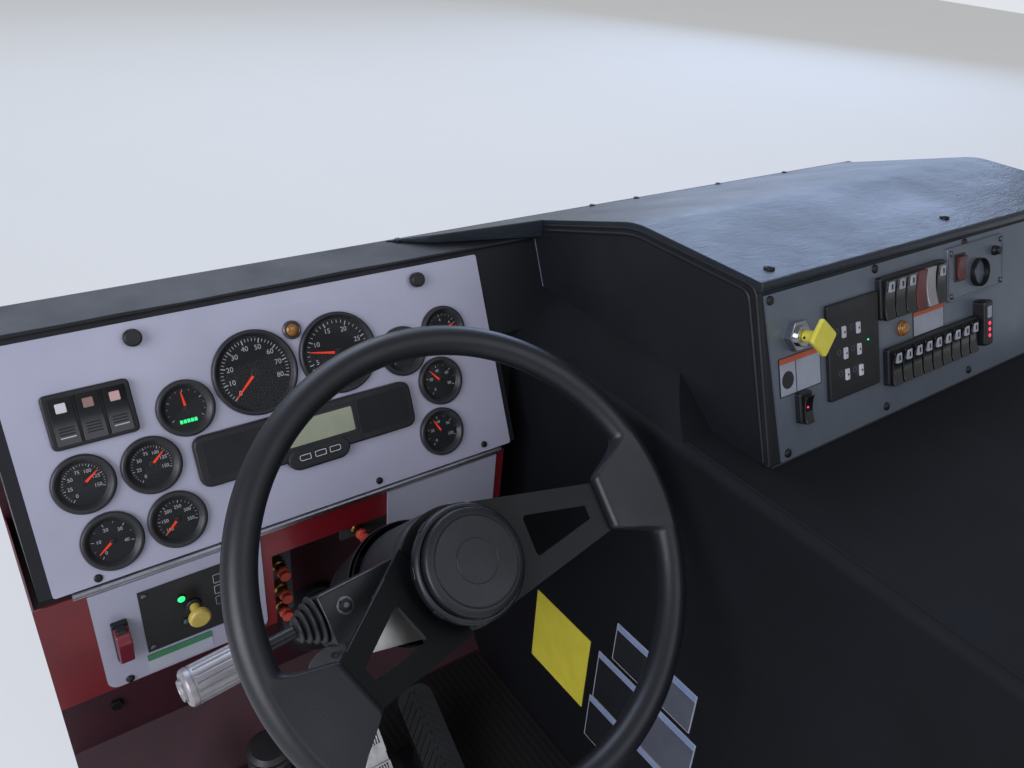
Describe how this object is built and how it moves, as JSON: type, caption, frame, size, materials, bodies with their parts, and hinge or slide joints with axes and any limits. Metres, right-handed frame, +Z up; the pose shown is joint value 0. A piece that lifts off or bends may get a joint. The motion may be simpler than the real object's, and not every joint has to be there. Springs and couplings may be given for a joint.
{
  "type": "fire engine driver's dashboard with steering column and centre console",
  "caption": "Driver's end of a fire engine cab: hinged gauge panel, tilting steering column and wheel, pedals, rocker-switch console and engine cover.",
  "frame": {"origin": "On the floor, under the middle of the assembly's bounding box", "axes": "X to the vehicle's right, Y forward in the vehicle, Z up"},
  "size_m": [1.466, 0.982, 0.82],
  "materials": {
    "red_paint": "gloss red coach paint, dulled a little",
    "wall_paint": "dark red sheet steel",
    "silver_panel": "flat satin silver panel sheet",
    "stainless": "stainless hinge",
    "black_vinyl": "grained black vinyl over padding",
    "black_plastic": "moulded black plastic",
    "gauge_black": "gloss black rim",
    "dial_black": "flat black dial",
    "needle_orange": "bright pointer",
    "clear_lens": "clear flat cover",
    "display_black": "black display housing",
    "lamp_amber": "amber lamp",
    "lamp_green": "coloured lamps",
    "yellow_knob": "yellow moulded knob",
    "guard_red": "red switch guard",
    "column_plastic": "grained black column cover",
    "cast_grey": "grey casting",
    "boot_rubber": "black moulded rubber",
    "handle_silver": "silver-grey plastic handle",
    "rim_black": "smooth black moulded rim",
    "spoke_steel": "brushed steel spokes",
    "pedal_metal": "worn ribbed metal",
    "fitting_red": "air fittings on a bracket",
    "cover_grey": "grained charcoal vinyl",
    "sign_yellow": "bare sign and cards",
    "mat_rubber": "ribbed rubber mat"
  },
  "bodies": {
    "cab_front": {"floor_pan": "wall_paint", "floor_mat": "mat_rubber", "front_wall": "wall_paint", "apron": "red_paint", "hinge_fixed_leaf": "stainless", "dash_body": "black_vinyl", "dash_top_pad": "black_vinyl", "lower_panels": "silver_panel", "shift_plate": "black_plastic", "shift_knob": "yellow_knob", "indicator_lamps": "lamp_green", "guarded_switch": "guard_red", "column_jacket": "cast_grey", "column_cover": "column_plastic", "column_boot": "boot_rubber", "brake_pedal": "pedal_metal", "accelerator_pedal": "black_plastic", "air_fittings": "fitting_red", "console_shell": "black_vinyl", "console_top_pad": "black_vinyl", "switch_panel": "silver_panel", "brake_knob": "yellow_knob", "control_block": "black_plastic", "switch_rows": "black_plastic", "socket_plate": "black_plastic", "engine_cover": "cover_grey", "cover_shoulder": "cover_grey", "side_signs": "sign_yellow"},
    "panel": {"instrument_panel": "silver_panel", "hinge_moving_leaf": "stainless", "gauge_bezels": "gauge_black", "gauge_cans": "dial_black", "gauge_needles": "needle_orange", "gauge_lenses": "clear_lens", "display_housing": "display_black", "rocker_bank": "black_plastic", "panel_latches": "black_plastic", "warning_lamp": "lamp_amber"},
    "column_head": {"column_head": "cast_grey", "column_shroud": "column_plastic", "lever_boot": "boot_rubber", "signal_lever": "handle_silver"},
    "wheel": {"steering_shaft": "spoke_steel", "wheel_spokes": "spoke_steel", "wheel_hub": "rim_black", "wheel_rim": "rim_black"}
  },
  "joints": [
    {"name": "instrument_panel_hinge", "type": "hinge", "parent": "cab_front", "child": "panel", "pos_m": [-0.4395, 0.3058, 0.50277], "axis": [1, 0, 0], "range_deg": [0, 25]},
    {"name": "column_tilt", "type": "hinge", "parent": "cab_front", "child": "column_head", "pos_m": [-0.3875, 0.17016, 0.48367], "axis": [1, 0, 0], "range_deg": [-8, 8]},
    {"name": "steering_turn", "type": "hinge", "parent": "column_head", "child": "wheel", "pos_m": [-0.3875, 0.054, 0.6078], "axis": [0, -0.6833, 0.7302], "range_deg": [-810, 810]}
  ]
}
